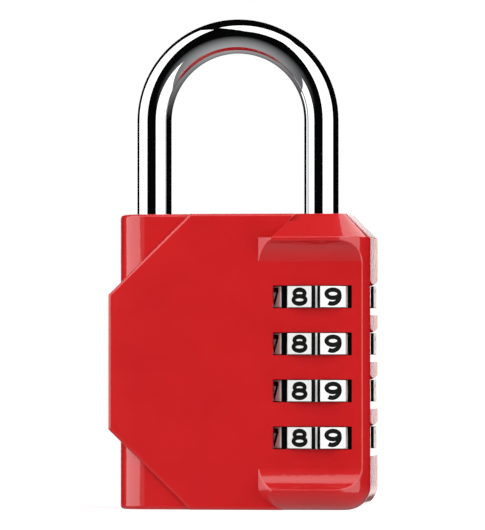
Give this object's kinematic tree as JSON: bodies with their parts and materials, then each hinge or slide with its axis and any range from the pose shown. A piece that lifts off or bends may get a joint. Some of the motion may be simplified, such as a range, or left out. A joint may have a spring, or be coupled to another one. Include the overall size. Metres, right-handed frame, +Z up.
{
  "type": "combination padlock",
  "caption": "Resettable combination padlock with a raised six-sided face plate, a barrel of number dials at one side and a round steel shackle.",
  "frame": {"origin": "middle of the lock in plan, on its underside", "axes": "+Z up through the shackle, -Y out of the front face, +X towards the dials"},
  "size_m": [0.0429, 0.02, 0.08],
  "materials": {
    "casing_paint": "gloss red enamel on die-cast zinc",
    "shackle_chrome": "bright chrome plate on hardened steel",
    "dial_enamel": "white enamel with black figures",
    "sleeve_brass": "turned",
    "plug_zinc": "satin",
    "pin_steel": "ground",
    "washer_steel": "stamped",
    "spring_steel": "drawn wire"
  },
  "bodies": {
    "casing": {"front_casing": "casing_paint", "rear_casing": "casing_paint", "casing_pins": "pin_steel", "bottom_plug": "plug_zinc", "thrust_washer": "washer_steel", "sleeve_return_spring": "spring_steel", "lift_spring": "spring_steel", "detent_ball_1": "spring_steel", "detent_ball_2": "spring_steel", "detent_ball_3": "spring_steel", "detent_ball_4": "spring_steel", "detent_spring_1": "spring_steel", "detent_spring_2": "spring_steel", "detent_spring_3": "spring_steel", "detent_spring_4": "spring_steel"},
    "shackle": {"shackle": "shackle_chrome"},
    "dial_1": {"dial_ring_1": "dial_enamel", "code_sleeve_1": "sleeve_brass"},
    "dial_2": {"dial_ring_2": "dial_enamel", "code_sleeve_2": "sleeve_brass"},
    "dial_3": {"dial_ring_3": "dial_enamel", "code_sleeve_3": "sleeve_brass"},
    "dial_4": {"dial_ring_4": "dial_enamel", "code_sleeve_4": "sleeve_brass"}
  },
  "joints": [
    {"name": "shackle_lift", "type": "slide", "parent": "casing", "child": "shackle", "axis": [0, 0, 1], "range_m": [0, 0.0076], "deforming": ["lift_spring"]},
    {"name": "dial_1_turn", "type": "hinge", "parent": "casing", "child": "dial_1", "pos_m": [0.0126, 0, 0.0345], "axis": [0, 0, 1], "continuous": true},
    {"name": "dial_2_turn", "type": "hinge", "parent": "casing", "child": "dial_2", "pos_m": [0.0126, 0, 0.0269], "axis": [0, 0, 1], "continuous": true},
    {"name": "dial_3_turn", "type": "hinge", "parent": "casing", "child": "dial_3", "pos_m": [0.0126, 0, 0.0193], "axis": [0, 0, 1], "continuous": true},
    {"name": "dial_4_turn", "type": "hinge", "parent": "casing", "child": "dial_4", "pos_m": [0.0126, 0, 0.0117], "axis": [0, 0, 1], "continuous": true}
  ]
}
